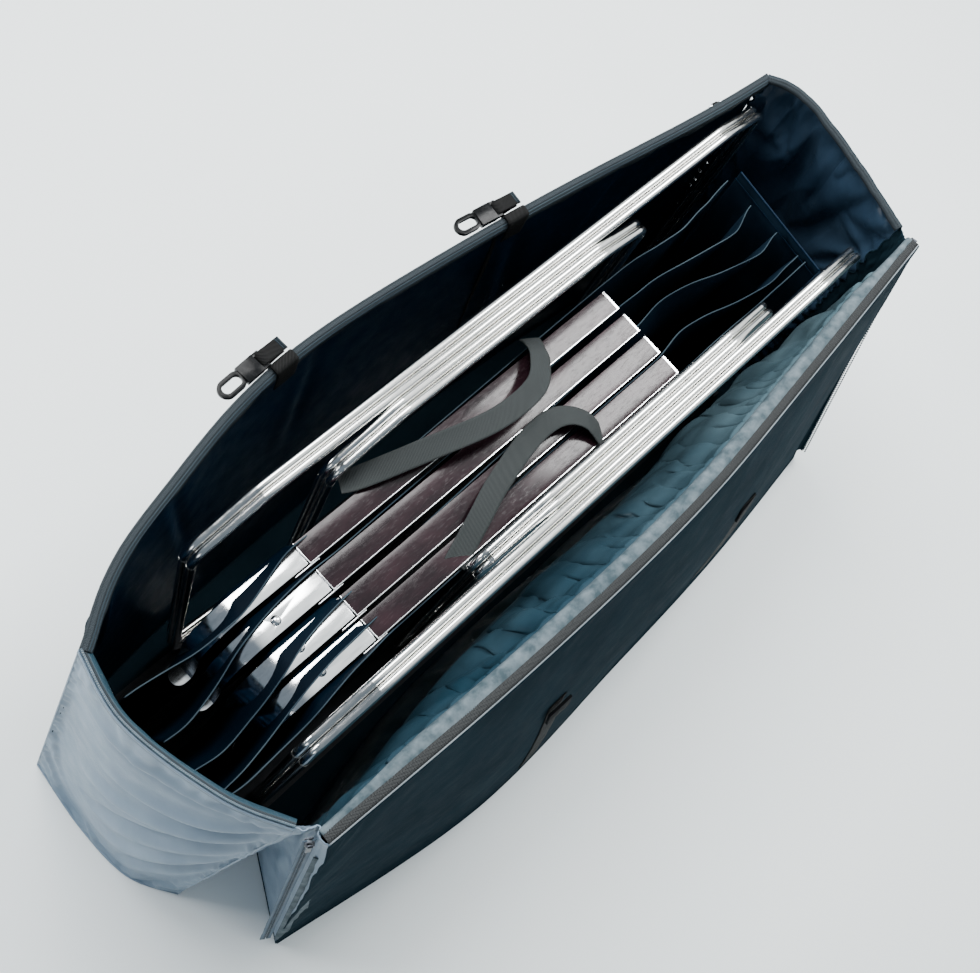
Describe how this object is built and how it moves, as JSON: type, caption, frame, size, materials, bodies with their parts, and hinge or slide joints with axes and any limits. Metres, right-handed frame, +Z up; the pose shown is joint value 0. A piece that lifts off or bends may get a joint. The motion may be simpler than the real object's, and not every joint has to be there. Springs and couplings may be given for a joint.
{
  "type": "music stand storage bag",
  "caption": "Open zipped carry bag packed with knocked-down music stands: looped chrome tube frames along both walls and desks in cloth pockets.",
  "frame": {"origin": "centre of the bag's base, on the floor", "axes": "+Z up, +X along the bag to its far end, +Y to the back wall"},
  "size_m": [1.2867, 0.5818, 0.5395],
  "materials": {
    "shell_cloth": "dark satin nylon",
    "end_cloth": "steel-blue satin nylon",
    "lining_cloth": "satin lining",
    "divider_cloth": "dark blue nylon",
    "base_board": "stiff board",
    "zip_tape": "woven zip tape",
    "zip_teeth": "moulded zip teeth",
    "piping": "light piping",
    "slider_metal": "black enamel",
    "ring_wire": "polished wire",
    "webbing": "herringbone webbing",
    "handle_webbing": "herringbone webbing",
    "clip_plastic": "black moulded plastic",
    "tube_chrome": "polished chrome tube",
    "desk_enamel": "dark brown gloss enamel",
    "edge_chrome": "bright edging",
    "arm_chrome": "polished sheet metal",
    "rivet_chrome": "polished dome"
  },
  "bodies": {
    "bag": {"bottom_panel": "shell_cloth", "bottom_board": "base_board", "back_wall": "shell_cloth", "front_wall": "shell_cloth", "front_lining": "lining_cloth", "near_end_panel": "end_cloth", "far_end_panel": "end_cloth", "near_gusset": "end_cloth", "far_gusset": "end_cloth", "divider_1": "divider_cloth", "divider_2": "divider_cloth", "divider_3": "divider_cloth", "divider_4": "divider_cloth", "divider_5": "divider_cloth", "divider_end_band": "divider_cloth", "rim_zip": "zip_tape", "hem_zip": "zip_tape", "hem_piping": "piping", "near_corner_zip": "zip_teeth", "far_corner_zip": "zip_teeth", "ring_tab": "clip_plastic", "back_strap_1": "webbing", "back_strap_2": "webbing", "front_straps": "webbing", "front_buckles": "clip_plastic", "inner_handle_back": "handle_webbing", "inner_handle_front": "handle_webbing"},
    "near_slider": {"near_slider": "slider_metal"},
    "near_puller": {"near_puller": "slider_metal"},
    "far_slider": {"far_slider": "slider_metal"},
    "far_puller": {"far_puller": "slider_metal"},
    "pull_ring": {"pull_ring": "ring_wire"},
    "clip_1": {"clip_1": "clip_plastic"},
    "clip_2": {"clip_2": "clip_plastic"},
    "long_frame_1": {"long_frame_1": "tube_chrome"},
    "long_frame_2": {"long_frame_2": "tube_chrome"},
    "long_frame_3": {"long_frame_3": "tube_chrome"},
    "long_frame_4": {"long_frame_4": "tube_chrome"},
    "short_frame_1": {"short_frame_1": "tube_chrome"},
    "short_frame_2": {"short_frame_2": "tube_chrome"},
    "short_frame_3": {"short_frame_3": "tube_chrome"},
    "short_frame_4": {"short_frame_4": "tube_chrome"},
    "desk_1": {"desk_1": "desk_enamel", "desk_trim_1": "edge_chrome", "desk_arm_1": "arm_chrome", "desk_rivet_1": "rivet_chrome"},
    "desk_2": {"desk_2": "desk_enamel", "desk_trim_2": "edge_chrome", "desk_arm_2": "arm_chrome", "desk_rivet_2": "rivet_chrome"},
    "desk_3": {"desk_3": "desk_enamel", "desk_trim_3": "edge_chrome", "desk_arm_3": "arm_chrome", "desk_rivet_3": "rivet_chrome"},
    "desk_4": {"desk_4": "desk_enamel", "desk_trim_4": "edge_chrome", "desk_arm_4": "arm_chrome", "desk_rivet_4": "rivet_chrome"}
  },
  "joints": [
    {"name": "near_slider_run", "type": "slide", "parent": "bag", "child": "near_slider", "axis": [-0.1044, -0.1497, -0.9832], "range_m": [0, 0.3]},
    {"name": "near_puller_swing", "type": "hinge", "parent": "near_slider", "child": "near_puller", "pos_m": [-0.49824, -0.10264, 0.519], "axis": [-0.8202, 0.572, 0], "range_deg": [0, 165]},
    {"name": "far_slider_run", "type": "slide", "parent": "bag", "child": "far_slider", "axis": [0, -0.2861, -0.9582], "range_m": [0, 0.3]},
    {"name": "far_puller_swing", "type": "hinge", "parent": "far_slider", "child": "far_puller", "pos_m": [0.6182, -0.07386, 0.51812], "axis": [0, -0.9582, 0.2861], "range_deg": [0, 165]},
    {"name": "pull_ring_swing", "type": "hinge", "parent": "bag", "child": "pull_ring", "pos_m": [0.53173, 0.24064, 0.516], "axis": [0.9926, -0.1214, 0], "range_deg": [0, 150]},
    {"name": "clip_1_swing", "type": "hinge", "parent": "bag", "child": "clip_1", "pos_m": [-0.20082, 0.31375, 0.5345], "axis": [0.0845, -0.9964, 0], "range_deg": [-85, 60]},
    {"name": "clip_2_swing", "type": "hinge", "parent": "bag", "child": "clip_2", "pos_m": [0.15235, 0.29535, 0.5345], "axis": [-0.1243, -0.9922, 0], "range_deg": [-85, 60]},
    {"name": "long_frame_1_lift", "type": "slide", "parent": "bag", "child": "long_frame_1", "axis": [0, 0, 1], "range_m": [0, 0.54]},
    {"name": "long_frame_2_lift", "type": "slide", "parent": "bag", "child": "long_frame_2", "axis": [0, 0, 1], "range_m": [0, 0.54]},
    {"name": "long_frame_3_lift", "type": "slide", "parent": "bag", "child": "long_frame_3", "axis": [0, 0, 1], "range_m": [0, 0.54]},
    {"name": "long_frame_4_lift", "type": "slide", "parent": "bag", "child": "long_frame_4", "axis": [0, 0, 1], "range_m": [0, 0.54]},
    {"name": "short_frame_1_lift", "type": "slide", "parent": "bag", "child": "short_frame_1", "axis": [0, 0, 1], "range_m": [0, 0.54]},
    {"name": "short_frame_2_lift", "type": "slide", "parent": "bag", "child": "short_frame_2", "axis": [0, 0, 1], "range_m": [0, 0.54]},
    {"name": "short_frame_3_lift", "type": "slide", "parent": "bag", "child": "short_frame_3", "axis": [0, 0, 1], "range_m": [0, 0.54]},
    {"name": "short_frame_4_lift", "type": "slide", "parent": "bag", "child": "short_frame_4", "axis": [0, 0, 1], "range_m": [0, 0.54]},
    {"name": "desk_1_lift", "type": "slide", "parent": "bag", "child": "desk_1", "axis": [0, 0, 1], "range_m": [0, 0.54], "deforming": ["inner_handle_back", "inner_handle_front"]},
    {"name": "desk_2_lift", "type": "slide", "parent": "bag", "child": "desk_2", "axis": [0, 0, 1], "range_m": [0, 0.54], "deforming": ["inner_handle_back", "inner_handle_front"]},
    {"name": "desk_3_lift", "type": "slide", "parent": "bag", "child": "desk_3", "axis": [0, 0, 1], "range_m": [0, 0.54], "deforming": ["inner_handle_back", "inner_handle_front"]},
    {"name": "desk_4_lift", "type": "slide", "parent": "bag", "child": "desk_4", "axis": [0, 0, 1], "range_m": [0, 0.54], "deforming": ["inner_handle_back", "inner_handle_front"]}
  ]
}
